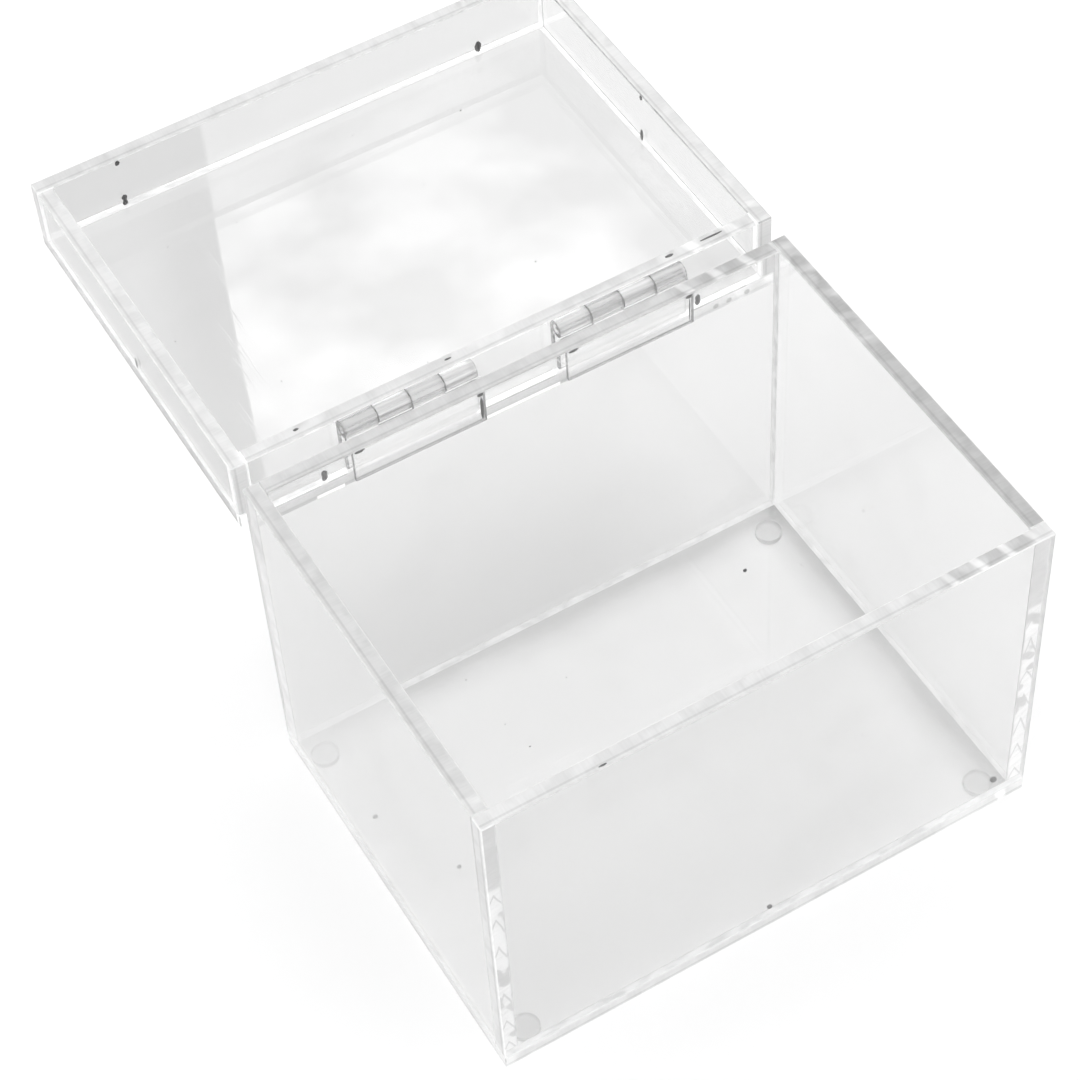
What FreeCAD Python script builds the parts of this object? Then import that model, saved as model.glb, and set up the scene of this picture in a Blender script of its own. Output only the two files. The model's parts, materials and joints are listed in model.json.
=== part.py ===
"""Small clear acrylic pick holder: a glued sheet box with a hinged tray lid, drawn fully open.

Frame: +X to the right along the hinge line, +Y to the back, +Z up.
Origin: below the middle of the hinge axis, on the plane the four feet stand on.
All lengths are in millimetres.
"""
import FreeCAD, Part

import os

from FreeCAD import Vector

os.makedirs("parts", exist_ok=True)

# --- sheet stock and box ---------------------------------------------------------------
SHEET = 3.0             # acrylic sheet thickness
BOX_LENGTH = 105.0      # outside, along X
BOX_DEPTH = 78.0        # outside, along Y
BOX_HEIGHT = 71.5       # underside of the base to the top of the walls
LID_HEIGHT = 15.0       # rim to the outer face of the lid panel
ARRIS = 0.2             # broken edge on every cut sheet

# --- feet --------------------------------------------------------------------------------
FOOT_DIAMETER = 5.0
FOOT_HEIGHT = 1.5
FOOT_ROUND = 0.6        # rounding of the foot's lower rim
FOOT_INSET = 6.5        # foot centre to each outer face of the box

# --- hinges ------------------------------------------------------------------------------
HINGE_LENGTH = 25.0
HINGE_OFFSET = 20.5     # hinge centre to the middle of the box, along X
AXIS_BEHIND_BOX = 1.95  # hinge axis behind the box's back face
AXIS_ABOVE_BOX = 0.55   # hinge axis above the top of the walls
CLOSED_GAP = 0.3        # rim to wall tops when the lid is closed
BARREL_DIAMETER = 3.3
LEAF_THICKNESS = 1.0
LEAF_TOP = 1.75         # hinge axis to the leaf plate's near edge
LEAF_END = 9.8          # hinge axis to the leaf plate's far edge
LEAF_ARRIS = 0.25
KNUCKLE_COUNT = 4
KNUCKLE_GAP = 0.3       # axial play between neighbouring knuckles
PIN_DIAMETER = 1.6
PIN_LENGTH = 24.4
PIN_PLAY = 0.06         # radial clearance in the lid's knuckles
PIN_CHAMFER = 0.15      # broken ends of the pin

# --- drawing aids ------------------------------------------------------------------------
BORE_OVERRUN = 1.0      # how far the boring tool runs past each end of a hinge
TOLERANCE = 1e-6        # two coordinates closer than this are the same

# --- derived positions -------------------------------------------------------------------
X_LEFT = -BOX_LENGTH / 2
X_RIGHT = BOX_LENGTH / 2
AXIS_Y = 0.0
Y_BACK = AXIS_Y - AXIS_BEHIND_BOX
Y_FRONT = Y_BACK - BOX_DEPTH
Z_BASE = FOOT_HEIGHT
Z_FLOOR = Z_BASE + SHEET
Z_TOP = Z_BASE + BOX_HEIGHT
WALL_HEIGHT = BOX_HEIGHT - SHEET
AXIS_Z = Z_TOP + AXIS_ABOVE_BOX
KNUCKLE_LENGTH = (HINGE_LENGTH - (KNUCKLE_COUNT - 1) * KNUCKLE_GAP) / KNUCKLE_COUNT
X_DIR = Vector(1, 0, 0)


def save(name, shape):
    """Write one piece as its own file."""
    shape.exportStep("parts/" + name + ".step")


def sheet(x, y, z, dx, dy, dz):
    """A rectangular cut of sheet with all its edges broken."""
    block = Part.makeBox(dx, dy, dz, Vector(x, y, z))
    return block.makeChamfer(ARRIS, block.Edges)


def opened(shape):
    """Turn a piece drawn in the closed position back to the open position."""
    turned = shape.copy()
    turned.rotate(Vector(0, AXIS_Y, AXIS_Z), X_DIR, -180)
    return turned


def tray(z_low, height, z_plate, names):
    """One tray of five sheets: a full-size plate and four upright sheets on its rim.

    The front sheet spans the full length and covers the ends of the side sheets.
    The side sheets run on to the back face and the back sheet fits between them.
    """
    side_depth = BOX_DEPTH - SHEET
    inner_length = BOX_LENGTH - 2 * SHEET
    return {
        names["plate"]: sheet(X_LEFT, Y_FRONT, z_plate, BOX_LENGTH, BOX_DEPTH, SHEET),
        names["front"]: sheet(X_LEFT, Y_FRONT, z_low, BOX_LENGTH, SHEET, height),
        names["back"]: sheet(X_LEFT + SHEET, Y_BACK - SHEET, z_low, inner_length, SHEET, height),
        names["left"]: sheet(X_LEFT, Y_FRONT + SHEET, z_low, SHEET, side_depth, height),
        names["right"]: sheet(X_RIGHT - SHEET, Y_FRONT + SHEET, z_low, SHEET, side_depth, height),
    }


def make_box():
    """Base panel with four walls standing on it."""
    names = {
        "plate": "base_panel",
        "front": "front_wall",
        "back": "back_wall",
        "left": "left_wall",
        "right": "right_wall",
    }
    return tray(Z_FLOOR, WALL_HEIGHT, Z_BASE, names)


def make_lid():
    """Lid panel with four rim strips, drawn closed and then turned open."""
    rim = Z_TOP + CLOSED_GAP
    strip_height = LID_HEIGHT - SHEET
    names = {
        "plate": "lid_panel",
        "front": "lid_front_strip",
        "back": "lid_back_strip",
        "left": "lid_left_strip",
        "right": "lid_right_strip",
    }
    closed = tray(rim, strip_height, rim + strip_height, names)
    return {name: opened(shape) for name, shape in closed.items()}


def leaf_web(x, length):
    """The neck that joins one knuckle to its leaf plate, on the leaf's glued side."""
    free = Y_BACK + LEAF_THICKNESS
    corners = [
        Vector(x, Y_BACK, AXIS_Z - LEAF_TOP - LEAF_ARRIS),
        Vector(x, Y_BACK, AXIS_Z - LEAF_TOP),
        Vector(x, AXIS_Y - BARREL_DIAMETER / 2, AXIS_Z),
        Vector(x, free, AXIS_Z),
        Vector(x, free, AXIS_Z - LEAF_TOP - LEAF_ARRIS),
    ]
    outline = Part.makePolygon(corners + [corners[0]])
    return Part.Face(outline).extrude(Vector(length, 0, 0))


def knuckle_start(x_start, index):
    """Left end of one knuckle, counted from the left end of the hinge."""
    return x_start + index * (KNUCKLE_LENGTH + KNUCKLE_GAP)


def leaf(x_start, knuckles, bore_radius):
    """A hinge leaf glued to the box's back face: plate, necks and bored knuckles."""
    plate_height = LEAF_END - LEAF_TOP
    plate = Part.makeBox(
        HINGE_LENGTH, LEAF_THICKNESS, plate_height, Vector(x_start, Y_BACK, AXIS_Z - LEAF_END)
    )
    outer_edges = []
    for edge in plate.Edges:
        on_free_face = all(abs(v.Y - Y_BACK - LEAF_THICKNESS) < TOLERANCE for v in edge.Vertexes)
        below_top = min(v.Z for v in edge.Vertexes) < AXIS_Z - LEAF_TOP - TOLERANCE
        if on_free_face and below_top:
            outer_edges.append(edge)
    body = plate.makeChamfer(LEAF_ARRIS, outer_edges)
    for index in knuckles:
        x = knuckle_start(x_start, index)
        centre = Vector(x, AXIS_Y, AXIS_Z)
        barrel = Part.makeCylinder(BARREL_DIAMETER / 2, KNUCKLE_LENGTH, centre, X_DIR)
        body = body.fuse([leaf_web(x, KNUCKLE_LENGTH), barrel])
    bore_start = Vector(x_start - BORE_OVERRUN, AXIS_Y, AXIS_Z)
    bore = Part.makeCylinder(bore_radius, HINGE_LENGTH + 2 * BORE_OVERRUN, bore_start, X_DIR)
    return body.cut(bore).removeSplitter()


def lid_leaf(x_start, knuckles):
    """The mating leaf: the same leaf mirrored across the hinge axis, glued to the lid."""
    facing = leaf(x_start, knuckles, PIN_DIAMETER / 2 + PIN_PLAY)
    return facing.mirror(Vector(0, AXIS_Y, AXIS_Z), Vector(0, 1, 0))


def hinge_pin(x_centre):
    """Plain pin with broken ends, fixed in the box leaf's knuckles."""
    start = Vector(x_centre - PIN_LENGTH / 2, AXIS_Y, AXIS_Z)
    pin = Part.makeCylinder(PIN_DIAMETER / 2, PIN_LENGTH, start, X_DIR)
    end_edges = [edge for edge in pin.Edges if len(edge.Vertexes) == 1]
    return pin.makeChamfer(PIN_CHAMFER, end_edges)


def make_hinges():
    """Two equal hinges; the right one is fitted the other way round, so its knuckles swap."""
    even = [0, 2]
    odd = [1, 3]
    layout = [
        ("hinge_left", -HINGE_OFFSET, even, odd),
        ("hinge_right", HINGE_OFFSET, odd, even),
    ]
    pieces = {}
    for name, x_centre, box_knuckles, lid_knuckles in layout:
        x_start = x_centre - HINGE_LENGTH / 2
        pieces[name + "_box_leaf"] = leaf(x_start, box_knuckles, PIN_DIAMETER / 2)
        pieces[name + "_lid_leaf"] = lid_leaf(x_start, lid_knuckles)
        pieces[name + "_pin"] = hinge_pin(x_centre)
    return pieces


def make_feet():
    """Four round bumper feet stuck under the corners of the base."""
    x_left = X_LEFT + FOOT_INSET
    x_right = X_RIGHT - FOOT_INSET
    y_front = Y_FRONT + FOOT_INSET
    y_back = Y_BACK - FOOT_INSET
    corners = {
        "foot_front_left": (x_left, y_front),
        "foot_front_right": (x_right, y_front),
        "foot_back_left": (x_left, y_back),
        "foot_back_right": (x_right, y_back),
    }
    pieces = {}
    for name, (cx, cy) in corners.items():
        foot = Part.makeCylinder(FOOT_DIAMETER / 2, FOOT_HEIGHT, Vector(cx, cy, 0))
        circles = [edge for edge in foot.Edges if len(edge.Vertexes) == 1]
        lower_rim = [edge for edge in circles if edge.Vertexes[0].Z < TOLERANCE]
        pieces[name] = foot.makeFillet(FOOT_ROUND, lower_rim)
    return pieces


def main():
    """Build every piece, check that it is one valid solid, and write it out."""
    pieces = {}
    for group in (make_box(), make_lid(), make_hinges(), make_feet()):
        pieces.update(group)
    for name, shape in pieces.items():
        if len(shape.Solids) != 1 or not shape.isValid():
            raise RuntimeError(name + " is not one valid solid")
        save(name, shape.Solids[0])
        box = shape.BoundBox
        low = [round(v, 2) for v in (box.XMin, box.YMin, box.ZMin)]
        high = [round(v, 2) for v in (box.XMax, box.YMax, box.ZMax)]
        print(name, round(shape.Volume, 1), low, high)


main()
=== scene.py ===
"""Looks for the clear acrylic pick holder: materials, small surface detail, studio and camera.

Everything is in metres, in the CAD's row frame: +X along the hinge line, +Y towards the
open lid, +Z up, with the feet standing on z = 0. Noise scales are in cells per metre.
"""
import json
import math
import random

import bmesh
import bpy
from mathutils import Matrix, Vector, noise


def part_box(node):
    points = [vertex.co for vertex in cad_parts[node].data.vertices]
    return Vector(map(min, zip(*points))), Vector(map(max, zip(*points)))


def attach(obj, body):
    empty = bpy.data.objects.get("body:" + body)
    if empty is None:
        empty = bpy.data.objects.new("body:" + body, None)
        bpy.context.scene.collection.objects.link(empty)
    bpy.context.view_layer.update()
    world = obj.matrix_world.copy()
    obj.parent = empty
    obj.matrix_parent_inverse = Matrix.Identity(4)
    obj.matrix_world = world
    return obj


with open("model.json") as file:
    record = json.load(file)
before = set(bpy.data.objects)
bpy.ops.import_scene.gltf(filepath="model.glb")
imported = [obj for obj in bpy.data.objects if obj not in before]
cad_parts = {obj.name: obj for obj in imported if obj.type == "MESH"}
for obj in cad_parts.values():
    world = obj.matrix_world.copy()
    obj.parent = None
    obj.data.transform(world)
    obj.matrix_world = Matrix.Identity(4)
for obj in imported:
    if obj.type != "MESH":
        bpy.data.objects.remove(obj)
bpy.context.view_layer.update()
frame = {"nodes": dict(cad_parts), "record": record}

NODES = frame["nodes"]
MM = 0.001
X, Y, Z = 0, 1, 2
SHEET = 3 * MM              # thickness of the sheets

# --- optics ------------------------------------------------------------------------------
IOR = 1.49
# Share of the light that one sheet lets through, before reflections: the usual, and the
# sheets that differ from it, which are darker or lighter as painted shade and light.
USUAL_TINT = 0.88
TINTS = {
    "back_wall": 0.77,
    "lid_panel": 0.725,
    "lid_front_strip": 0.68,
    "lid_back_strip": 0.96,
    "lid_left_strip": 0.73,
    "lid_right_strip": 0.86,
}
# What each surface leaves of the light it shades.
BOX_SHADOW = 0.948
LID_SHADOW = 0.885
SAWN_SHADOW = 0.70
ARRIS_SHADOW = 0.85
PLATE_SHADOW = 0.94
BARREL_SHADOW = 0.92
HINGE_END_SHADOW = 0.85
FOOT_SHADOW = 0.90
MATT_THROUGH = 0.35         # share of its light that a matt surface lets through

# --- cement ------------------------------------------------------------------------------
CONTACT = 0.02 * MM         # how far apart two faces may lie and still count as cemented
SHEET_JOINT = 3.5 * MM      # joints between sheets are narrower than this
FLAT_JOINT_HAZE = 0.85      # how milky the cement is between a plate and the sheets on it,
UPRIGHT_JOINT_HAZE = 0.80   # at the upright corners,
PAD_JOINT_HAZE = 0.12       # and under a hinge leaf or a foot
HAZE_VARIES = 0.20          # share of that milkiness which comes and goes
CEMENT_LEVEL = 0.80         # lightness of the cement itself
CEMENT_CREEP = 0.25 * MM    # how far it creeps over the broken corners beside a joint

# --- painted glow: emission that stands in for the light the sheets carry, where it comes out ---
EDGE_GLOW = 0.18            # at sawn edges
BUTT_GLOW = 0.24            # at butted ends
BOX_JOINT_GLOW = 0.20       # at the cemented joints of the box,
LID_JOINT_GLOW = 0.34       # at those of the lid,
UPRIGHT_GLOW = 0.09         # and that much more at the upright corners
SEAM_GLOW = 0.50            # at the dry lines in the lid's seams
SMEAR_GLOW = 1.00           # at the cement smears on the lid's back edge,
BACK_EDGE_GLOW = 0.38       # and that much more all along that edge
HINGE_GLOW = 0.05           # at the knuckles and pins
PLATE_GLOW = 0.12           # at the plates of the hinges
# The haze of each kind of joint, and how much more it glows than the body's other joints.
JOINT_KINDS = (
    (FLAT_JOINT_HAZE, 0.0),
    (UPRIGHT_JOINT_HAZE, UPRIGHT_GLOW),
    (PAD_JOINT_HAZE, 0.0),
)

# --- the saw's marks -----------------------------------------------------------------------
FINE_MARKS = 2600.0         # grain of a sawn face along the sheet,
LONG_MARKS = 300.0          # and through its thickness
MARK_CONTRAST = 0.10
SAWN_FROST = 0.88           # share of a sawn edge that the blade left matt,
BUTT_FROST = 0.80           # of a butted end,
ARRIS_FROST = 0.75          # and of a broken corner
STRETCH_FADE = 2.0 * MM     # half the distance over which a darker stretch sets in
BAR_SLANT = 0.35            # how far the cutter's bars lean as they cross an edge
BAR_WANDER = 2.2 * MM       # how far they stray from even spacing
SCORE_AT = 0.27             # where the score line runs, as a share of the way across an edge
SCORE_DEPTH = 0.14          # how much it darkens the edge
WETTED_SHARE = 0.28         # how much of a butted end is wetted smooth, from the top down
ARC_SPACING = 7.5 * MM      # of the cutter's arcs on a butted end
ARC_BEND = 2.6              # how steeply they bend away from its middle
ARC_WANDER = 5 * MM

# --- sheets --------------------------------------------------------------------------------
# The axis each sheet is thin along.
SHEETS = {
    "base_panel": Z, "front_wall": Y, "back_wall": Y, "left_wall": X, "right_wall": X,
    "lid_panel": Z, "lid_front_strip": Y, "lid_back_strip": Y,
    "lid_left_strip": X, "lid_right_strip": X,
}
# How light each sheet's sawn edges are, and one darker stretch with the cutter's bars; the lightness
# and the darker stretch are painted light and shade, set sheet by sheet: lightness, (axis, start,
# end) as shares of the sheet, lightness there, bar spacing in mm, how much lighter the bars are.
EDGES = {
    "base_panel": (0.86, (X, 0.93, 1.00), 0.75, 6.0, 0.20),
    "front_wall": (0.76, (X, 0.80, 0.97), 0.56, 5.3, 0.22),
    "back_wall": (0.67, (X, 0.79, 1.00), 0.50, 6.0, 0.24),
    "left_wall": (0.67, (Y, 0.00, 0.05), 0.62, 4.0, 0.05),
    "right_wall": (0.51, (Y, 0.62, 1.00), 0.48, 6.5, 0.10),
    "lid_panel": (0.66, (X, 0.90, 1.00), 0.60, 6.0, 0.12),
    "lid_front_strip": (0.67, (X, 0.90, 1.00), 0.62, 6.0, 0.12),
    "lid_back_strip": (0.72, (X, 0.86, 1.00), 0.60, 7.5, 0.16),
    "lid_left_strip": (0.73, (Y, 0.00, 0.06), 0.68, 5.0, 0.05),
    "lid_right_strip": (0.73, (Y, 0.00, 0.08), 0.62, 6.0, 0.12),
}
# Lightness of the broken corners: the usual, and the sheets that differ from it, lighter or darker as
# painted light and shade.
USUAL_ARRIS = 0.62
ARRIS_LEVELS = {"front_wall": 0.80, "lid_right_strip": 0.30}
# Painted light: where a sheet is painted paler than the rest of it, for how light falls across it:
# (axis, from mm, to mm, tint beyond).
PAINTED_LIGHT_PARTS = {
    "back_wall": [(X, 5.0, 42.0, 0.85), (Z, 66.2, 67.6, 0.95)],
    "front_wall": [(X, 5.0, 42.0, 0.95)],
    "lid_front_strip": [(X, -20.4, -19.6, 0.78)],
}
# The cement stops short of the outer face along the lid's seams, which leaves a bright dry
# line there, made brighter with painted glow: the axis across the strip, which way along it is
# outward, and runs of (start, end, width in mm), where start and end are shares of the strip's
# length.
DRY_LINES = {
    "lid_front_strip": (Y, 1, [(0.03, 0.13, 0.5), (0.22, 0.31, 0.7), (0.31, 1.00, 2.0)]),
    "lid_back_strip": (Y, -1, [(0.00, 0.12, 1.0), (0.13, 0.17, 3.0), (0.42, 0.58, 3.0),
                               (0.83, 0.97, 3.0)]),
    "lid_left_strip": (X, -1, [(0.04, 0.97, 0.4)]),
    "lid_right_strip": (X, 1, [(0.00, 0.49, 0.9), (0.52, 1.00, 0.8)]),
}
# Milky cement on the lid's back edge, made bright with painted glow: (start, end) as shares of its
# length, width in mm, and how far above the panel's lower face it begins, in mm.
CEMENT_SMEARS = [(0.13, 0.18, 0.8), (0.42, 0.58, 0.8)]
SMEAR_START = 0.1
# Grey blots of old cement on the lid's back edge, right of the hinges, along X in mm.
EDGE_BLOTS = (40.0, 42.7, 46.4)
BLOT_HEIGHT = 1.3 * MM      # of their centres above the panel's lower face
BLOT_CORE = 0.35 * MM       # darkest within this of the centre,
BLOT_RIM = 0.75 * MM        # and gone beyond this
BLOT_DEPTH = 0.35           # how much of the edge's lightness they take
# Painted shadow of the back and right walls on the box's floor, in bands beside two of the base's
# joints: (axis across the joint, how much it darkens).
WALL_SHADOW_BANDS = ((Y, 0.13), (X, 0.16))
WALL_SHADOW_REACHES = (8 * MM, 3 * MM)
WALL_SHADOW_WANDER = 4 * MM
# The butted ends of the side sheets show through the front sheet: they aren't fully wetted.
# Lightness where wetted, where dry, and of the cutter's arcs.
LEFT_BUTT = (0.68, 0.84, 0.66)
RIGHT_BUTT = (0.70, 0.86, 0.68)
BUTTED = {
    "left_wall": LEFT_BUTT,
    "right_wall": RIGHT_BUTT,
    "lid_left_strip": LEFT_BUTT,
    "lid_right_strip": RIGHT_BUTT,
}

# --- which polygons get which material -----------------------------------------------------
SQUARE_ON = 0.95            # a polygon faces along an axis if its normal has this much of it
PIN_END = 0.60              # the same for a pin's end, which takes in its broken corner
BARREL_REACH = 1.75 * MM    # polygons of a leaf nearer the axis than this are a knuckle's,
BORE_REACH = 0.83 * MM      # and nearer than this they are its bore's

# --- small pieces, sizes in mm -------------------------------------------------------------
BUBBLE_SIZE = (1.3, 0.9, 2.6)
BUBBLE_FROM_END = 15.8 * MM     # of the long seams
BUBBLE_HEIGHT = 1.2 * MM        # above the lid panel
UPPER_BUBBLE_SIZE = (0.9, 0.8, 1.1)
UPPER_BUBBLE_BELOW = 1.6 * MM   # the lid's rim
# Flakes on the lid's rim behind the hinges: place along X, length, width.
RIM_FLAKES = {
    "left": (-39.4, 1.0, 0.5),
    "middle": (-10.7, 1.3, 0.4),
    "right": (32.8, 1.6, 0.6),
    "end": (41.2, 4.6, 0.4),
}
FLAKE_THICKNESS = 0.25
FLAKE_FROM_EDGE = 1.9 * MM
# Specks on the box's floor: place along X, distance from the front face, size.
BASE_SPECKS = {
    "base_mark_front": (0.4, 3.2, 1.0),
    "base_mark_left_front": (-38.1, 36.6, 0.9),
    "base_mark_left": (-45.4, 53.4, 1.0),
    "base_mark_back_right": (36.3, 64.6, 0.8),
    "base_mark_corner": (47.6, 4.2, 1.3),
}
CHIP_SIZE = (1.4, 0.35, 0.16)
CHIP_AT = -31 * MM              # along X, in the front wall's top edge,
CHIP_FROM_FRONT = 0.5 * MM      # and behind its front face
# How thick the line of air at the right end of each box leaf is.
LEAF_END_AIR = {"left": 0.6, "right": 0.25}
# Seeds of the lumps' outlines; lumps of one kind count on from the first.
BUBBLE_SEED, UPPER_BUBBLE_SEED, FLAKE_SEED, SPECK_SEED, CHIP_SEED = 1, 41, 60, 20, 31
DUST = (("box", "base_panel", 26), ("lid", "lid_panel", 16))
DUST_SEED = 7
DUST_SIZES = (0.12, 0.34)
DUST_MARGIN = 6 * MM

# --- studio --------------------------------------------------------------------------------
FLOOR_SIZE = 12.0
FLOOR_BELOW = 0.2 * MM      # keeps the floor clear of the feet
FLOOR_LEVEL = 0.93
WORLD_LEVEL = 0.92
TOP_LIGHT = 0.80
TOP_LIGHT_HEIGHT = 2.0
TOP_LIGHT_TILT = (0.12, -0.10)
TOP_LIGHT_SPREAD = math.radians(25)
SOFT_BOX_RADIANCE = 1.95
SOFT_BOX_WIDTH, SOFT_BOX_DEPTH = 0.75, 0.60
SOFT_BOX_CORNER = (0.222, 0.755, 1.0)
SOFT_BOX_TURN = -math.atan2(85.0, 249.0)    # its side goes 85 across for every 249 back
FLAG_WIDTH = 0.20
FLAG_GAP = 1 * MM
FLAG_FADE = (0.012, 0.055)  # the flag is darkest nearer the box than the first, palest beyond

# --- camera --------------------------------------------------------------------------------
CAMERA_AT = Vector((-0.15888, -0.31203, 0.46062))
CAMERA_TARGET = Vector((-0.00312, -0.01019, 0.035))
CAMERA_ROLL = math.radians(4.13)
CAMERA_LENS = 103.94
CAMERA_NEAR, CAMERA_FAR = 0.01, 50.0
SENSOR = 36.0


class Graph:
    """A short way to wire shader nodes."""

    def __init__(self, name):
        self.material = bpy.data.materials.new(name)
        self.material.use_nodes = True
        self.tree = self.material.node_tree
        self.tree.nodes.clear()
        self.place = None
        # Painted glow at the cement joints: emission, not light from a lamp.
        self.joint_glow = LID_JOINT_GLOW if "lid" in name else BOX_JOINT_GLOW

    def node(self, kind, **settings):
        made = self.tree.nodes.new(kind)
        for key, value in settings.items():
            setattr(made, key, value)
        return made

    def link(self, source, target):
        self.tree.links.new(source, target)

    def feed(self, value, socket):
        """Set a constant on a socket, or link another node's output to it."""
        if isinstance(value, bpy.types.NodeSocket):
            self.link(value, socket)
        elif isinstance(value, (int, float)) and hasattr(socket.default_value, "__len__"):
            socket.default_value = (value, value, value, 1.0)[:len(socket.default_value)]
        else:
            socket.default_value = value

    def math(self, operation, a, b=None, c=None):
        made = self.node("ShaderNodeMath", operation=operation)
        for socket, value in zip(made.inputs, (a, b, c)):
            if value is not None:
                self.feed(value, socket)
        return made.outputs[0]

    def vector(self, operation, a, b=None):
        made = self.node("ShaderNodeVectorMath", operation=operation)
        for socket, value in zip(made.inputs, (a, b)):
            if value is not None:
                self.feed(value, socket)
        return made.outputs[0]

    def length(self, vector):
        made = self.node("ShaderNodeVectorMath", operation="LENGTH")
        self.link(vector, made.inputs[0])
        return made.outputs["Value"]

    def position(self):
        """The point in the row frame, which rides with the piece."""
        if self.place is None:
            self.place = self.node("ShaderNodeTexCoord").outputs["Object"]
        return self.place

    def split(self, vector):
        made = self.node("ShaderNodeSeparateXYZ")
        self.link(vector, made.inputs[0])
        return made.outputs[0], made.outputs[1], made.outputs[2]

    def step(self, value, low, high):
        """0 below low, 1 above high, smooth between."""
        made = self.node("ShaderNodeMapRange", interpolation_type="SMOOTHSTEP")
        self.feed(value, made.inputs["Value"])
        made.inputs["From Min"].default_value = low
        made.inputs["From Max"].default_value = high
        return made.outputs[0]

    def blend(self, factor, a, b):
        """a where factor is 0 and b where it is 1, for numbers."""
        made = self.node("ShaderNodeMix", data_type="FLOAT")
        for socket, value in zip((made.inputs[0], made.inputs[2], made.inputs[3]), (factor, a, b)):
            self.feed(value, socket)
        return made.outputs[0]

    def noise(self, scale, detail=2.0, stretch=(1, 1, 1), turn=(0, 0, 0)):
        mapping = self.node("ShaderNodeMapping")
        mapping.inputs["Scale"].default_value = stretch
        mapping.inputs["Rotation"].default_value = turn
        self.link(self.position(), mapping.inputs["Vector"])
        made = self.node("ShaderNodeTexNoise")
        made.inputs["Scale"].default_value = scale
        made.inputs["Detail"].default_value = detail
        self.link(mapping.outputs[0], made.inputs["Vector"])
        return made.outputs["Fac"]

    def bump(self, height, strength, distance):
        made = self.node("ShaderNodeBump")
        made.inputs["Strength"].default_value = strength
        made.inputs["Distance"].default_value = distance
        self.link(height, made.inputs["Height"])
        return made.outputs[0]

    def mix(self, factor, a, b):
        """One surface over another."""
        made = self.node("ShaderNodeMixShader")
        self.feed(factor, made.inputs[0])
        self.link(a, made.inputs[1])
        self.link(b, made.inputs[2])
        return made.outputs[0]

    def clear(self, level):
        made = self.node("ShaderNodeBsdfTransparent")
        self.feed(level, made.inputs["Color"])
        return made.outputs[0]

    def matt(self, level):
        made = self.node("ShaderNodeBsdfDiffuse")
        self.feed(level, made.inputs["Color"])
        return made.outputs[0]

    def glass(self, tint, roughness, normal):
        """A clear plastic surface."""
        made = self.node("ShaderNodeBsdfPrincipled")
        made.inputs["Transmission Weight"].default_value = 1.0
        made.inputs["IOR"].default_value = IOR
        self.feed(tint, made.inputs["Base Color"])
        self.feed(roughness, made.inputs["Roughness"])
        self.link(normal, made.inputs["Normal"])
        return made.outputs[0]

    def scatter(self, level):
        """A matt surface that also lets some light through."""
        front = self.matt(level)
        back = self.node("ShaderNodeBsdfTranslucent")
        self.feed(level, back.inputs["Color"])
        return self.mix(MATT_THROUGH, front, back.outputs[0])

    def lit(self, surface, level, strength):
        """A surface with painted glow added: emission that stands in for the light the sheet carries
        to it.
        """
        painted_glow = self.node("ShaderNodeEmission")
        self.feed(level, painted_glow.inputs["Color"])
        painted_glow.inputs["Strength"].default_value = strength
        both = self.node("ShaderNodeAddShader")
        self.link(surface, both.inputs[0])
        self.link(painted_glow.outputs[0], both.inputs[1])
        return both.outputs[0]

    def output(self, surface):
        made = self.node("ShaderNodeOutputMaterial")
        self.link(surface, made.inputs["Surface"])
        return self.material

    def finish(self, surface, shadow, joints=(), filled=False):
        """Close the material: pale shadows, and a clear or slightly milky film at each joint, whose
        cement has painted glow added.

        A filled surface is as milky at its other joints as at the flat ones.
        """
        if joints:
            cloud = self.step(self.noise(260.0), 0.30, 0.65)
            for haze, more in JOINT_KINDS:
                boxes = [box for box in joints if haze_of(box) == haze]
                if boxes:
                    share = FLAT_JOINT_HAZE if filled else haze
                    varies = share * HAZE_VARIES
                    milk = self.math("MULTIPLY_ADD", cloud, varies, share * (1 - HAZE_VARIES))
                    cement = self.scatter(CEMENT_LEVEL)
                    paste = self.lit(cement, CEMENT_LEVEL, self.joint_glow + more)
                    film = self.mix(milk, self.clear(1.0), paste)
                    here = self.inside(boxes)
                    surface = self.mix(here, surface, film)
                    shadow = self.blend(here, shadow, 1.0)
        path = self.node("ShaderNodeLightPath")
        return self.output(self.mix(path.outputs["Is Shadow Ray"], surface, self.clear(shadow)))

    def inside(self, boxes):
        """1 inside any of the boxes, 0 elsewhere; one as wide as it is deep is a foot's round pad."""
        total = None
        for low, high in boxes:
            size = high - low
            away = self.vector("ABSOLUTE", self.vector("SUBTRACT", self.position(), (low + high) / 2))
            x, y, z = self.split(self.vector("SUBTRACT", away, size / 2))
            if abs(size.x - size.y) < CONTACT:
                flat = self.vector("MULTIPLY", away, (1.0, 1.0, 0.0))
                sideways = self.math("SUBTRACT", self.length(flat), size.x / 2)
            else:
                sideways = self.math("MAXIMUM", x, y)
            furthest = self.math("MAXIMUM", sideways, z)
            inside = self.math("LESS_THAN", furthest, 0.0)
            total = inside if total is None else self.math("MAXIMUM", total, inside)
        return total


# --- which faces are cemented --------------------------------------------------------------
def corners(name):
    low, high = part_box(name)
    return Vector(low), Vector(high)


def body_of(name):
    bodies = frame["record"]["behaviour"]["bodies"]
    return next(body for body, names in bodies.items() if name in names)


def haze_of(box):
    """How milky the cement in a joint is, from the joint's shape and the way it faces."""
    sides = box[1] - box[0]
    if sorted(sides)[1] > SHEET_JOINT:
        return PAD_JOINT_HAZE
    return FLAT_JOINT_HAZE if sides.z < MM else UPRIGHT_JOINT_HAZE


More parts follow.
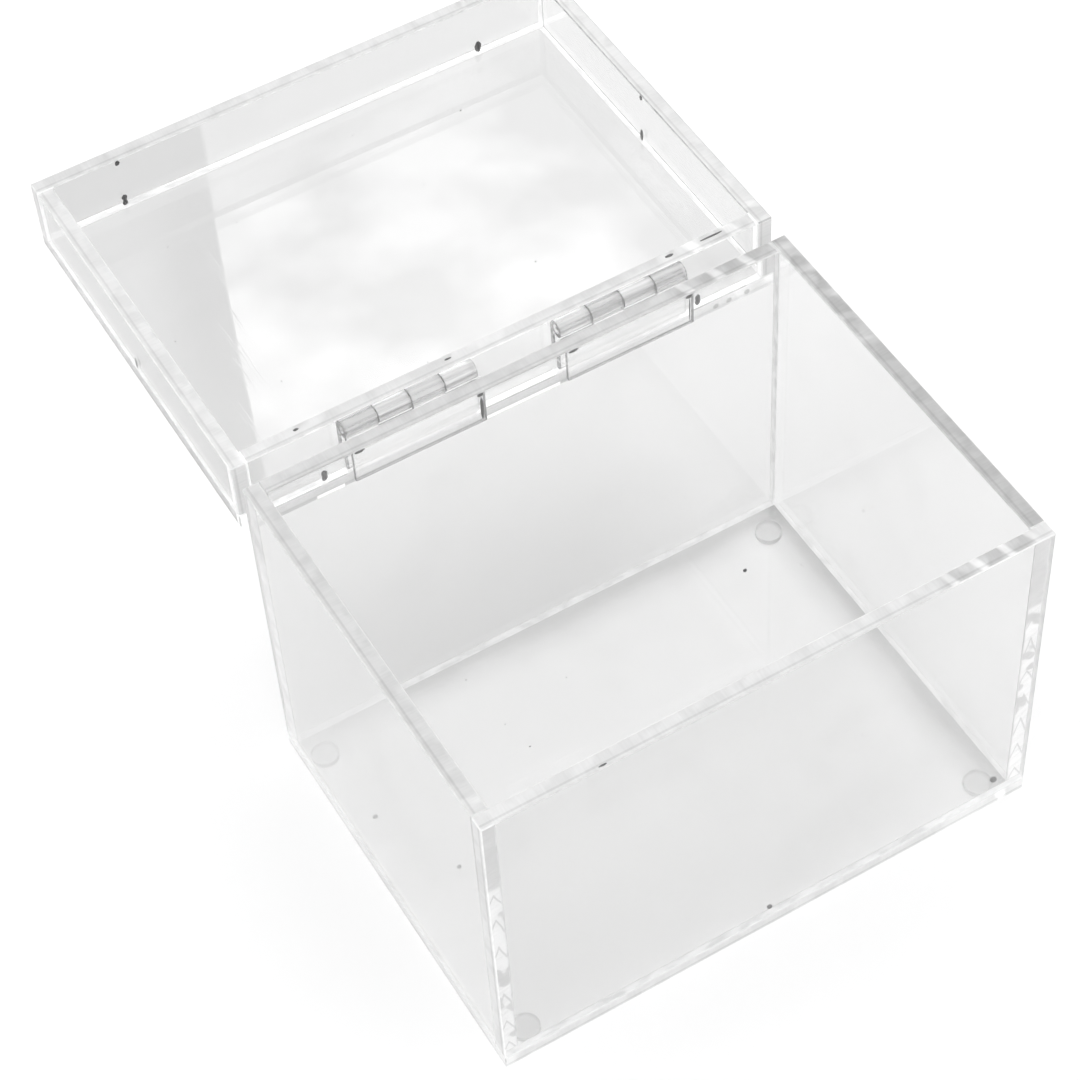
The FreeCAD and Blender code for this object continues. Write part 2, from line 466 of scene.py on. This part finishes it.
def contact(name, other):
    """The thin box where two pieces touch face to face, or None."""
    low, high = corners(name)
    other_low, other_high = corners(other)
    grow = Vector((CONTACT, CONTACT, CONTACT))
    start = Vector([max(a, b) for a, b in zip(low, other_low)]) - grow
    end = Vector([min(a, b) for a, b in zip(high, other_high)]) + grow
    size = end - start
    thin = [side for side in size if side < 4 * CONTACT]
    return (start, end) if min(size) > 0 and len(thin) == 1 else None


def seam_runs(name, other, box):
    """A joint cut along its length into (wetted part, dry margin or None) pairs."""
    strip = name if name in DRY_LINES else other
    if strip not in DRY_LINES or "lid_panel" not in (name, other):
        return [(box, None)]
    side, outward, runs = DRY_LINES[strip]
    run = X if side == Y else Y
    low, high = box
    length = high[run] - low[run]
    stops = sorted({0.0, 1.0} | {stop for first, last, width in runs for stop in (first, last)})
    parts = []
    for first, last in zip(stops, stops[1:]):
        middle = (first + last) / 2
        dry = sum(width for start, end, width in runs if start < middle < end) * MM
        start, end = low.copy(), high.copy()
        start[run] = low[run] + first * length
        end[run] = low[run] + last * length
        dry_start, dry_end = start.copy(), end.copy()
        if outward > 0:
            end[side] -= dry
            dry_start[side] = end[side]
        else:
            start[side] += dry
            dry_end[side] = start[side]
        parts.append(((start, end), (dry_start, dry_end) if dry else None))
    return parts


def dry_margins(name):
    """The parts of a strip's cemented edge that the cement never reached."""
    if name not in DRY_LINES:
        return []
    runs = seam_runs(name, "lid_panel", contact(name, "lid_panel"))
    return [dry for wet, dry in runs if dry]


def joints_of(name, grow=0.0):
    """Every cemented joint of a piece; butted ends keep their own sawn look."""
    found = []
    for other in NODES:
        if other == name or body_of(other) != body_of(name):
            continue
        if name in BUTTED and other in ("front_wall", "lid_front_strip"):
            continue
        box = contact(name, other)
        if box is not None and ("hinge" not in name or other in SHEETS):
            found += [wet for wet, dry in seam_runs(name, other, box)]
    more = Vector((grow, grow, grow))
    return [(low - more, high + more) for low, high in found]


# --- materials of the sheets ---------------------------------------------------------------
def polished_face(name):
    """A sheet's polished faces: nearly flat, with hairlines and a breath of haze, and a tint that
    carries painted light and shade.
    """
    g = Graph("polished_" + name)
    tint = TINTS.get(name, USUAL_TINT)
    # The base carries a painted shadow of the back and right walls.
    if name == "base_panel":
        tint = painted_wall_shadow(g, name, tint)
    # Painted light: each sheet turns paler past the places listed for it.
    for along, first, last, pale in PAINTED_LIGHT_PARTS.get(name, []):
        place = g.split(g.position())[along]
        tint = g.blend(g.step(place, first * MM, last * MM), tint, pale)
    waves = g.noise(24.0)
    hair = g.step(g.noise(1.0, 3.0, (900, 40, 40), (0.3, 0.5, 0.8)), 0.62, 0.70)
    haze = g.step(g.noise(38.0, 3.0), 0.50, 0.72)
    height = g.math("MULTIPLY_ADD", hair, 0.02, g.math("MULTIPLY", waves, 0.5))
    rough = g.math("MULTIPLY_ADD", haze, 0.015, g.math("MULTIPLY", hair, 0.02))
    clear = g.glass(tint, rough, g.bump(height, 0.015, 2 * MM))
    surface = g.mix(g.math("MULTIPLY", haze, 0.025), clear, g.scatter(0.9))
    shadow = LID_SHADOW if name.startswith("lid") else BOX_SHADOW
    return g.finish(surface, shadow, joints_of(name))


def painted_wall_shadow(g, name, tint):
    """Painted shadow: the base is darker in bands beside the back and right walls, where their shade
    falls.
    """
    low, high = corners(name)
    place = g.split(g.position())
    wander = g.math("MULTIPLY", g.math("SUBTRACT", g.noise(45.0), 0.5), WALL_SHADOW_WANDER)
    shade = tint
    for axis, depth in WALL_SHADOW_BANDS:
        edge = high[axis] - SHEET
        for reach in WALL_SHADOW_REACHES:
            near = g.step(g.math("ADD", place[axis], wander), edge - reach, edge)
            shade = g.math("MULTIPLY", shade, g.math("MULTIPLY_ADD", near, -depth, 1.0))
    return shade


def edge_level(g, name):
    """Lightness along an edge, painted as light and shade: one darker stretch, crossed by the
    cutter's lighter bars.
    """
    light, (axis, start, end), dark, spacing, lift = EDGES[name]
    across = SHEETS[name]
    low, high = corners(name)
    place = g.split(g.position())
    length = high[axis] - low[axis]
    first = low[axis] + start * length
    stretch = g.step(place[axis], first - STRETCH_FADE, first + STRETCH_FADE)
    if end < 1.0:
        last = low[axis] + end * length
        leave = g.step(place[axis], last - STRETCH_FADE, last + STRETCH_FADE)
        stretch = g.math("SUBTRACT", stretch, leave)
    sideways = g.math("MULTIPLY", place[across], BAR_SLANT)
    drift = g.math("MULTIPLY", g.noise(90.0), BAR_WANDER)
    run = g.math("ADD", g.math("ADD", place[axis], sideways), drift)
    wave = g.math("SINE", g.math("MULTIPLY", run, 2 * math.pi / (spacing * MM)))
    bar = g.step(wave, 0.35, 1.00)
    blotch = g.step(g.noise(260.0, 1.0), 0.40, 0.62)
    barred = g.math("MULTIPLY_ADD", bar, lift, g.math("MULTIPLY_ADD", blotch, 0.12, dark - 0.02))
    plain = g.math("MULTIPLY_ADD", blotch, -0.06, light)
    score_line = low[across] + SCORE_AT * (high[across] - low[across])
    aside = g.math("ABSOLUTE", g.math("SUBTRACT", place[across], score_line))
    clean = g.step(aside, 0.08 * MM, 0.30 * MM)
    kept = g.math("MULTIPLY_ADD", clean, SCORE_DEPTH, 1 - SCORE_DEPTH)
    return g.math("MULTIPLY", g.blend(stretch, plain, barred), kept)


def sawn(g, level, fine, frost, glow=EDGE_GLOW):
    """A sawn surface: part clear, part frosted by the fine marks of the blade."""
    marked = g.math("MULTIPLY_ADD", g.math("SUBTRACT", fine, 0.5), MARK_CONTRAST, level)
    rough = g.math("MULTIPLY_ADD", fine, 0.15, 0.03)
    clear = g.glass(marked, rough, g.bump(fine, 0.2, 0.2 * MM))
    return g.lit(g.mix(frost, clear, g.scatter(marked)), marked, glow)


def silvery(g, fine, glow):
    """Trapped air or milky cement, which sends nearly all the light back, with painted glow added."""
    white = g.math("MULTIPLY_ADD", fine, 0.08, 0.92)
    return g.lit(g.scatter(white), white, glow)


def cut_edge(name):
    """A raw edge, left as the saw cut it."""
    g = Graph("cut_edge_" + name)
    on_panel = name == "lid_panel"
    level = edge_level(g, name)
    unblotted = blotted(g, name) if on_panel else None
    if on_panel:
        level = g.math("MULTIPLY", level, unblotted)
    marks = [FINE_MARKS, FINE_MARKS, FINE_MARKS]
    marks[SHEETS[name]] = LONG_MARKS
    fine = g.noise(1.0, 2.0, marks)
    surface = sawn(g, level, fine, SAWN_FROST)
    if on_panel:
        # Painted highlight: the lid's back edge glows all along, as if it caught light from the
        # hinges' side.
        painted_glow = g.math("MULTIPLY", g.inside([back_edge(name)]), unblotted)
        surface = g.lit(surface, painted_glow, BACK_EDGE_GLOW)
        bright = cement_smears(name)
        glow = SMEAR_GLOW
    else:
        bright = dry_margins(name)
        glow = SEAM_GLOW
    # The smears and dry lines are real marks, with painted glow that makes them bright.
    if bright:
        surface = g.mix(g.inside(bright), surface, silvery(g, fine, glow))
    return g.finish(surface, SAWN_SHADOW, joints_of(name))


def back_edge(name):
    """The box around a sheet's back edge."""
    low, high = corners(name)
    grow = Vector((MM, MM, MM))
    return low - grow, Vector((high.x, low.y, high.z)) + grow


def blotted(g, name):
    """How much of its lightness the lid's back edge keeps around each blot."""
    low, high = corners(name)
    kept = 1.0
    for x in EDGE_BLOTS:
        centre = Vector((x * MM, low.y, low.z + BLOT_HEIGHT))
        away = g.length(g.vector("SUBTRACT", g.position(), centre))
        clean = g.step(away, BLOT_CORE, BLOT_RIM)
        kept = g.math("MULTIPLY", kept, g.math("MULTIPLY_ADD", clean, BLOT_DEPTH, 1 - BLOT_DEPTH))
    return kept


def cement_smears(name):
    """Where milky cement ran down the back edge of the lid, between and beside the hinges."""
    low, high = corners(name)
    length = high.x - low.x
    smears = []
    for first, last, width in CEMENT_SMEARS:
        bottom = low.z + SMEAR_START * MM
        top = low.z + (SMEAR_START + width) * MM
        start = Vector((low.x + first * length, low.y - CONTACT, bottom))
        end = Vector((low.x + last * length, low.y + CONTACT, top))
        smears.append((start, end))
    return smears


def butted_end(name):
    """The end of a side sheet: wetted smooth at the top, dry and full of cutter arcs below."""
    wetted, light, dark = BUTTED[name]
    g = Graph("butted_end_" + name)
    low, high = corners(name)
    x, y, z = g.split(g.position())
    break_at = high.z - WETTED_SHARE * (high.z - low.z)
    smooth = g.step(z, break_at - 0.5 * MM, break_at + 0.5 * MM)
    off_middle = g.math("ABSOLUTE", g.math("SUBTRACT", x, (low.x + high.x) / 2))
    bend = g.math("MULTIPLY", off_middle, ARC_BEND)
    wander = g.math("MULTIPLY", g.noise(120.0), ARC_WANDER)
    run = g.math("ADD", g.math("ADD", z, bend), wander)
    wave = g.math("SINE", g.math("MULTIPLY", run, 2 * math.pi / ARC_SPACING))
    arc = g.step(wave, 0.90, 0.97)
    spot = g.step(g.noise(240.0, 1.0), 0.63, 0.68)
    darkened = g.math("MULTIPLY", g.math("MAXIMUM", arc, spot), light - dark)
    level = g.blend(smooth, g.math("SUBTRACT", light, darkened), wetted)
    fine = g.noise(1.0, 2.0, (LONG_MARKS, FINE_MARKS, FINE_MARKS))
    return g.finish(sawn(g, level, fine, BUTT_FROST, BUTT_GLOW), SAWN_SHADOW, joints_of(name))


def arris(name):
    """The narrow broken corner along every cut, filled with cement where a joint runs past."""
    g = Graph("arris_" + name)
    fine = g.noise(700.0)
    level = g.math("MULTIPLY_ADD", fine, 0.25, ARRIS_LEVELS.get(name, USUAL_ARRIS))
    surface = sawn(g, level, fine, ARRIS_FROST)
    return g.finish(surface, ARRIS_SHADOW, joints_of(name, CEMENT_CREEP), filled=True)


# --- materials of the hinges, feet and marks -----------------------------------------------
def moulded(name, tint, grey, frost, shadow, joints=(), streak=0.16, glow=HINGE_GLOW):
    """Injection-moulded clear plastic with flow lines drawn out along the hinge; their lighter
    streaks are also painted highlights, and the plastic has painted glow.
    """
    g = Graph(name)
    flow = g.noise(1.0, 3.0, (25, 1500, 1500))
    grain = g.noise(1500.0)
    height = g.math("MULTIPLY_ADD", grain, 0.15, flow)
    rough = g.math("MULTIPLY_ADD", flow, 0.10, 0.02)
    sharp = g.step(flow, 0.35, 0.65)
    shade = g.math("MULTIPLY_ADD", sharp, streak, tint - streak / 2)
    clear = g.glass(shade, rough, g.bump(height, 0.12, 0.3 * MM))
    level = g.math("MULTIPLY_ADD", sharp, streak * 1.6, grey - streak * 0.8)
    surface = g.mix(frost, clear, g.scatter(level))
    return g.finish(g.lit(surface, level, glow), shadow, joints)


def bonded_bore():
    """The pin is pressed into these knuckles, so nothing shows between the two."""
    g = Graph("bonded_bore")
    return g.output(g.clear(g.math("MULTIPLY_ADD", g.noise(900.0), 0.04, 0.96)))


def bumper(joints):
    """Soft clear bumper: a little cloudy, with a faint moulded grain."""
    g = Graph("clear_bumper")
    cloud = g.noise(700.0, 3.0)
    shade = g.math("MULTIPLY_ADD", cloud, 0.06, 0.93)
    rough = g.math("MULTIPLY_ADD", cloud, 0.2, 0.05)
    clear = g.glass(shade, rough, g.bump(cloud, 0.2, 0.2 * MM))
    return g.finish(g.mix(0.80, clear, g.scatter(0.88)), FOOT_SHADOW, joints)


def void():
    """A trapped bubble or speck: dark grey with a lighter, uneven skin."""
    g = Graph("trapped_void")
    grain = g.noise(1600.0)
    made = g.node("ShaderNodeBsdfPrincipled")
    g.link(g.math("MULTIPLY_ADD", grain, 0.20, 0.02), made.inputs["Base Color"])
    g.link(g.math("MULTIPLY_ADD", grain, 0.30, 0.25), made.inputs["Roughness"])
    g.link(g.bump(grain, 0.4, 0.2 * MM), made.inputs["Normal"])
    return g.output(made.outputs[0])


# --- painting the CAD nodes ----------------------------------------------------------------
def dress(obj, materials, choose):
    """Give a node its materials and choose one for each of its polygons."""
    obj.data.materials.clear()
    for material in materials:
        obj.data.materials.append(material)
    for polygon in obj.data.polygons:
        polygon.material_index = choose(polygon)


def faces_front(polygon, name):
    """The butted end is the one against the sheet that closes the tray's front."""
    return (polygon.normal[Y] > 0) == name.startswith("lid")


def paint_sheet(name, axis):
    face, edge, corner, butt = range(4)
    materials = [polished_face(name), cut_edge(name), arris(name)]
    if name in BUTTED:
        materials.append(butted_end(name))

    def choose(polygon):
        normal = [abs(part) for part in polygon.normal]
        if normal[axis] > SQUARE_ON:
            return face
        if max(normal) < SQUARE_ON:
            return corner
        if name in BUTTED and normal[Y] > SQUARE_ON and faces_front(polygon, name):
            return butt
        return edge

    dress(NODES[name], materials, choose)


def paint_leaf(name, axis_at, barrel, ends):
    """A hinge leaf: streaked knuckles, matt end faces painted greyer as shade, and a clear plate."""
    on_plate, on_barrel, on_end, on_bore = range(4)
    plate = moulded(name + "_plate", tint=0.97, grey=0.90, frost=0.12, shadow=PLATE_SHADOW,
                    joints=joints_of(name), glow=PLATE_GLOW)
    pressed = name.endswith("box_leaf")

    def choose(polygon):
        reach = (Vector(polygon.center) - axis_at).yz.length
        if abs(polygon.normal[X]) > SQUARE_ON:
            return on_end
        if reach < BORE_REACH and pressed:
            return on_bore
        if reach < BARREL_REACH:
            return on_barrel
        return on_plate if abs(polygon.normal[Y]) > SQUARE_ON else on_end

    dress(NODES[name], [plate, barrel, ends, bonded_bore()], choose)


def paint_hinges():
    axis_at = Vector(frame["record"]["behaviour"]["joints"][0]["pos_m"])
    barrel = moulded("hinge_barrel", tint=0.90, grey=0.78, frost=0.30, shadow=BARREL_SHADOW,
                     streak=0.26)
    # The end faces are matt, and painted darker for the shade that the knuckles' ends show.
    ends = moulded("hinge_ends_painted_shade", tint=0.72, grey=0.42, frost=0.60, shadow=HINGE_END_SHADOW)
    pin = moulded("hinge_pin", tint=0.90, grey=0.70, frost=0.25, shadow=BARREL_SHADOW)
    for name, obj in NODES.items():
        if name.endswith("pin"):
            dress(obj, [pin, ends], lambda polygon: int(abs(polygon.normal[X]) > PIN_END))
        elif name.endswith("leaf"):
            paint_leaf(name, axis_at, barrel, ends)


def paint_nodes():
    for name, axis in SHEETS.items():
        paint_sheet(name, axis)
    paint_hinges()
    for name, obj in NODES.items():
        if name.startswith("foot"):
            dress(obj, [bumper(joints_of(name))], lambda polygon: 0)


# --- small pieces --------------------------------------------------------------------------
def add_piece(name, shape, material, body):
    mesh = bpy.data.meshes.new(name)
    bmesh.ops.recalc_face_normals(shape, faces=shape.faces)
    shape.to_mesh(mesh)
    shape.free()
    for polygon in mesh.polygons:
        polygon.use_smooth = True
    piece = bpy.data.objects.new(name, mesh)
    bpy.context.scene.collection.objects.link(piece)
    mesh.materials.append(material)
    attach(piece, body)


def blob(shape, centre, size, seed, waist=0.0):
    """A small closed lump of uneven outline, drawn in at its waist if asked."""
    made = bmesh.ops.create_icosphere(shape, subdivisions=3, radius=1.0)
    for vertex in made["verts"]:
        out = vertex.co.normalized()
        uneven = 1 + 0.22 * noise.noise(out * 1.7 + Vector((seed * 3.1, seed, 0)))
        pinch = 1 - waist * (1 - out.z ** 2) * math.exp(-(out.z / 0.35) ** 2)
        lump = out * uneven
        lump.x *= pinch
        lump.y *= pinch
        vertex.co = centre + Vector([a * b / 2 for a, b in zip(lump, size)])


def add_lump(name, centre, size, seed, material, body, waist=0.0):
    """One lump as a piece of its own; its size is in mm."""
    shape = bmesh.new()
    blob(shape, Vector(centre), Vector(size) * MM, seed, waist)
    add_piece(name, shape, material, body)


def add_lid_marks(material):
    """Bubbles: two in each long seam, one halfway along the short ones. Flakes on the rim."""
    low, high = corners("lid_panel")
    rim = corners("lid_front_strip")[1].z
    middle = (low + high) / 2
    half = SHEET / 2
    places = {
        "lid_mark_front_left": (low.x + BUBBLE_FROM_END, high.y - half, 0.5),
        "lid_mark_front_right": (high.x - BUBBLE_FROM_END, high.y - half, 0.0),
        "lid_mark_back_left": (low.x + BUBBLE_FROM_END, low.y + half, 0.3),
        "lid_mark_back_right": (high.x - BUBBLE_FROM_END, low.y + half, 0.3),
        "lid_mark_left": (low.x + half, middle.y, 0.0),
        "lid_mark_right": (high.x - half, middle.y, 0.0),
    }
    for seed, (name, (x, y, waist)) in enumerate(places.items(), BUBBLE_SEED):
        add_lump(name, (x, y, high.z + BUBBLE_HEIGHT), BUBBLE_SIZE, seed, material, "lid", waist)
    for seed, name in enumerate(("lid_mark_front_left", "lid_mark_right"), UPPER_BUBBLE_SEED):
        x, y, waist = places[name]
        centre = (x, y, rim - UPPER_BUBBLE_BELOW)
        add_lump(name + "_upper", centre, UPPER_BUBBLE_SIZE, seed, material, "lid")
    for seed, (name, (x, along, across)) in enumerate(RIM_FLAKES.items(), FLAKE_SEED):
        centre = (x * MM, low.y + FLAKE_FROM_EDGE, rim)
        size = (along, across, FLAKE_THICKNESS)
        add_lump("lid_rim_flake_" + name, centre, size, seed, material, "lid")


def add_box_marks(material):
    """Specks on the box's floor, and a chip in the front wall's top edge."""
    low, high = corners("base_panel")
    for seed, (name, (x, from_front, across)) in enumerate(BASE_SPECKS.items(), SPECK_SEED):
        centre = (x * MM, low.y + from_front * MM, high.z + across * 0.3 * MM)
        add_lump(name, centre, (across, across * 0.8, across * 0.7), seed, material, "box")
    low, high = corners("front_wall")
    centre = (CHIP_AT, low.y + CHIP_FROM_FRONT, high.z)
    add_lump("front_wall_chip", centre, CHIP_SIZE, CHIP_SEED, material, "box")


def add_hinge_marks(material):
    """Air trapped in the cement under each box leaf: one lump at the left end, two at the right."""
    for side, thick in LEAF_END_AIR.items():
        low, high = corners("hinge_" + side + "_box_leaf")
        # Place along X, mm out from the wall and down from the leaf's top, size, seed, waist.
        lumps = (
            (low.x + 1.3 * MM, 0.5, 4.8, (1.9, 0.5, 0.7), 11, 0.0),
            (high.x - 0.8 * MM, 0.4, 4.4, (1.4, 0.5, 1.6), 14, 0.4),
            (high.x - 0.7 * MM, 0.3, 8.2, (thick, 0.4, 5.8), 17, 0.0),
        )
        shape = bmesh.new()
        for x, outward, down, size, seed, waist in lumps:
            centre = Vector((x, low.y + outward * MM, high.z - down * MM))
            blob(shape, centre, Vector(size) * MM, seed, waist)
        add_piece("hinge_" + side + "_mark", shape, material, "box")


def add_dust(material):
    """Fine specks that the clear sheet shows up: a seeded scatter on the faces."""
    scatter = random.Random(DUST_SEED)
    for body, node, count in DUST:
        low, high = corners(node)
        shape = bmesh.new()
        for number in range(count):
            across = scatter.uniform(*DUST_SIZES) * MM
            x = scatter.uniform(low.x + DUST_MARGIN, high.x - DUST_MARGIN)
            y = scatter.uniform(low.y + DUST_MARGIN, high.y - DUST_MARGIN)
            centre = Vector((x, y, high.z + across * 0.3))
            size = Vector((across, across * scatter.uniform(0.5, 1.0), across * 0.5))
            speck = bmesh.new()
            blob(speck, centre, size, number)
            mesh = bpy.data.meshes.new("speck")
            speck.to_mesh(mesh)
            speck.free()
            shape.from_mesh(mesh)
            bpy.data.meshes.remove(mesh)
        add_piece(body + "_dust", shape, material, body)


# --- studio --------------------------------------------------------------------------------
def make_camera():
    data = bpy.data.cameras.new("camera")
    data.lens = CAMERA_LENS
    data.sensor_width = SENSOR
    data.clip_start = CAMERA_NEAR
    data.clip_end = CAMERA_FAR
    camera = bpy.data.objects.new("camera", data)
    bpy.context.scene.collection.objects.link(camera)
    look = (CAMERA_TARGET - CAMERA_AT).to_track_quat("-Z", "Y").to_matrix()
    turned = look @ Matrix.Rotation(-CAMERA_ROLL, 3, "Z")
    camera.matrix_world = Matrix.Translation(CAMERA_AT) @ turned.to_4x4()
    bpy.context.scene.camera = camera


def add_plane(name, width, depth, place):
    """A flat stage card, seen from both sides."""
    mesh = bpy.data.meshes.new(name)
    shape = bmesh.new()
    bmesh.ops.create_grid(shape, x_segments=1, y_segments=1, size=0.5)
    bmesh.ops.scale(shape, vec=(width, depth, 1), verts=shape.verts)
    shape.to_mesh(mesh)
    shape.free()
    card = bpy.data.objects.new(name, mesh)
    card.matrix_world = place
    bpy.context.scene.collection.objects.link(card)
    return card


def floor_paper():
    g = Graph("floor_paper")
    return g.output(g.matt(g.math("MULTIPLY_ADD", g.noise(3.0), 0.01, FLOOR_LEVEL - 0.005)))


def make_floor():
    floor = add_plane("floor", FLOOR_SIZE, FLOOR_SIZE, Matrix.Translation((0, 0, -FLOOR_BELOW)))
    floor.data.materials.append(floor_paper())


def add_light(kind, name, place, energy, **settings):
    data = bpy.data.lights.new(name, kind)
    data.energy = energy
    for key, value in settings.items():
        setattr(data, key, value)
    light = bpy.data.objects.new(name, data)
    light.matrix_world = place
    bpy.context.scene.collection.objects.link(light)
    return light


def map_range(tree, source, start, end, low, high):
    """Carry a value from the range start to end over to the range low to high."""
    made = tree.nodes.new("ShaderNodeMapRange")
    limits = {"From Min": start, "From Max": end, "To Min": low, "To Max": high}
    for name, value in limits.items():
        made.inputs[name].default_value = value
    tree.links.new(source, made.inputs["Value"])
    return made.outputs[0]


def cloud_light(light):
    """The soft box isn't quite even, so its reflection in the lid looks clouded."""
    light.data.use_nodes = True
    tree = light.data.node_tree
    place = tree.nodes.new("ShaderNodeTexCoord")
    cloud = tree.nodes.new("ShaderNodeTexNoise")
    cloud.inputs["Scale"].default_value = 8.0
    cloud.inputs["Detail"].default_value = 3.0
    tree.links.new(place.outputs["UV"], cloud.inputs["Vector"])
    clouded = map_range(tree, cloud.outputs["Fac"], 0.40, 0.60, 0.35, 1.20)
    along = tree.nodes.new("ShaderNodeSeparateXYZ")
    tree.links.new(place.outputs["UV"], along.inputs[0])
    falling = map_range(tree, along.outputs[1], 0.05, 0.50, 1.30, 0.78)
    both = tree.nodes.new("ShaderNodeMath")
    both.operation = "MULTIPLY"
    tree.links.new(clouded, both.inputs[0])
    tree.links.new(falling, both.inputs[1])
    tree.links.new(both.outputs[0], tree.nodes["Emission"].inputs["Strength"])


def flag_cloth():
    """Dark beside the soft box and paler away from it."""
    g = Graph("flag_cloth")
    x, y, z = g.split(g.position())
    darkest, palest = [place - FLAG_WIDTH / 2 for place in FLAG_FADE]
    fade = g.step(g.math("MULTIPLY", x, -1.0), darkest, palest)
    weave = g.noise(60.0)
    dyed = g.math("MULTIPLY_ADD", fade, 0.90, 0.02)
    return g.output(g.matt(g.math("MULTIPLY_ADD", weave, 0.02, dyed)))


def make_light():
    world = bpy.data.worlds.new("studio")
    bpy.context.scene.world = world
    world.use_nodes = True
    background = world.node_tree.nodes["Background"]
    background.inputs["Color"].default_value = (1, 1, 1, 1)
    background.inputs["Strength"].default_value = WORLD_LEVEL
    tilt_x, tilt_y = TOP_LIGHT_TILT
    tilt = Matrix.Rotation(tilt_x, 4, "X") @ Matrix.Rotation(tilt_y, 4, "Y")
    above = Matrix.Translation((0, 0, TOP_LIGHT_HEIGHT))
    top = add_light("SUN", "soft_top", above @ tilt, TOP_LIGHT, angle=TOP_LIGHT_SPREAD)
    top.visible_glossy = False
    # The soft box whose reflection lies in the lid panel; its left edge ends on the panel.
    corner = Matrix.Translation(SOFT_BOX_CORNER) @ Matrix.Rotation(SOFT_BOX_TURN, 4, "Z")
    middle = corner @ Matrix.Translation((SOFT_BOX_WIDTH / 2, SOFT_BOX_DEPTH / 2, 0))
    energy = SOFT_BOX_RADIANCE * math.pi * SOFT_BOX_WIDTH * SOFT_BOX_DEPTH
    box = add_light("AREA", "soft_box", middle, energy,
                    shape="RECTANGLE", size=SOFT_BOX_WIDTH, size_y=SOFT_BOX_DEPTH)
    cloud_light(box)
    # A dark flag beside it keeps the rest of the panel grey.
    beside = corner @ Matrix.Translation((-FLAG_WIDTH / 2 - FLAG_GAP, SOFT_BOX_DEPTH / 2, 0))
    flag = add_plane("flag", FLAG_WIDTH, SOFT_BOX_DEPTH, beside)
    flag.data.materials.append(flag_cloth())


def render_settings():
    scene = bpy.context.scene
    scene.view_settings.view_transform = "Standard"
    scene.view_settings.look = "None"
    cycles = scene.cycles
    cycles.max_bounces = 24
    cycles.transmission_bounces = 24
    cycles.glossy_bounces = 12
    cycles.transparent_max_bounces = 48
    cycles.use_denoising = True
    cycles.sample_clamp_indirect = 4.0


make_camera()
paint_nodes()
dark = void()
add_lid_marks(dark)
add_box_marks(dark)
add_hinge_marks(dark)
add_dust(dark)
make_floor()
make_light()
render_settings()
